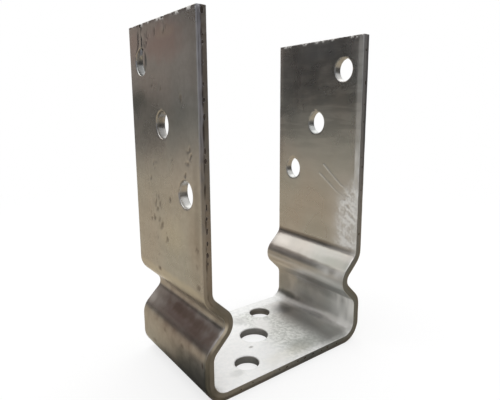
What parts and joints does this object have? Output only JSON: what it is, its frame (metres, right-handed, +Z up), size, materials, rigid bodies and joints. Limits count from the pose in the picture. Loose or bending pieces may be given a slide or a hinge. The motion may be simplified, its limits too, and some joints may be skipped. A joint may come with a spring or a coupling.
{
  "type": "u-shaped post base",
  "caption": "Folded galvanised steel U bracket that bolts to concrete and holds a square timber post between its upright legs, clear of the base on inward beads.",
  "frame": {"origin": "middle of the underside of the base", "axes": "+Z up along the legs, X from leg to leg across the post, Y along the width of the strip"},
  "size_m": [0.089, 0.06, 0.15],
  "materials": {
    "galvanised_steel": "hot-dip galvanised, satin, softly mottled"
  },
  "bodies": {
    "root": {"post_base": "galvanised_steel"}
  },
  "joints": []
}
